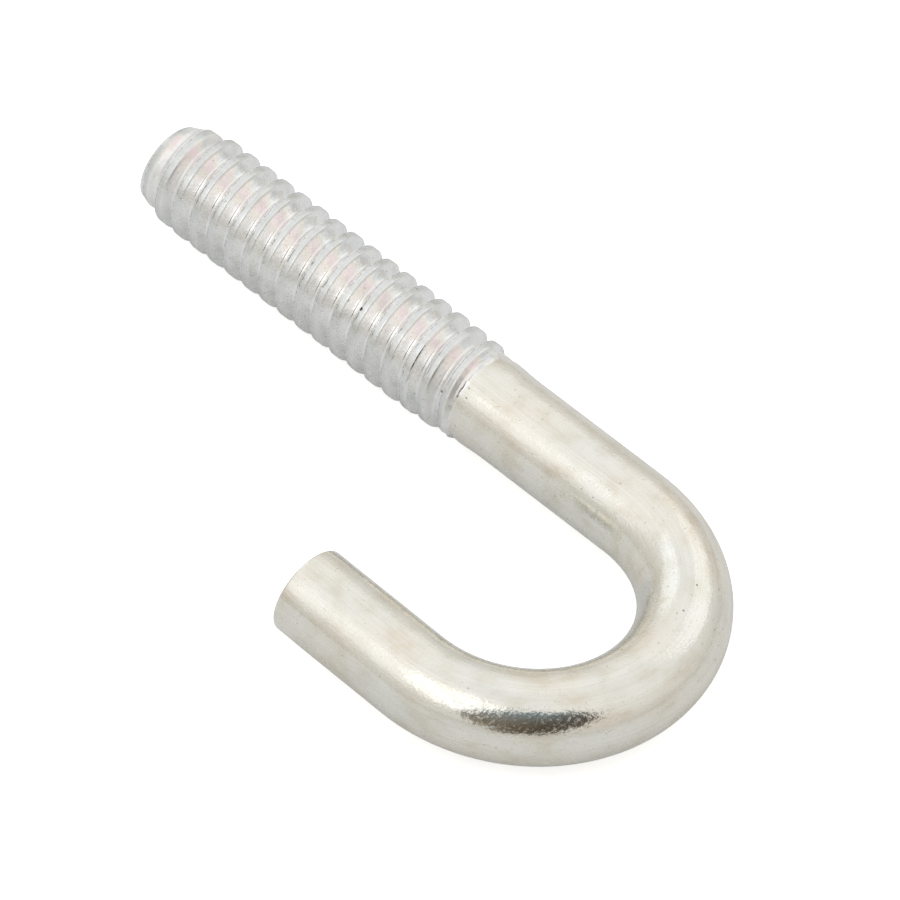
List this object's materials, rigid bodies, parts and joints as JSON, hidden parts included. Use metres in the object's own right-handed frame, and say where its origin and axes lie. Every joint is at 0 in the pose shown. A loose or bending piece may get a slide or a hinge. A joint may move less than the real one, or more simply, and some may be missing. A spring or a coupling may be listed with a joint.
{
  "type": "j-bolt",
  "caption": "Zinc-plated steel J-bolt: a round rod with a rolled thread on its straight end and a half-round hook with a short leg at the other.",
  "frame": {"origin": "on the thread's axis, at the flat face of the threaded end", "axes": "+X along the shank from the threaded end to the bend, -Y the side the hook turns to, +Z square to the flat of the J"},
  "size_m": [0.0367, 0.0182, 0.0048],
  "materials": {
    "zinc_plated_steel": "bright zinc plate on drawn steel rod: satin with soft lengthwise streaks, faint iridescence on the rolled thread"
  },
  "bodies": {
    "root": {"j_bolt": "zinc_plated_steel"}
  },
  "joints": []
}
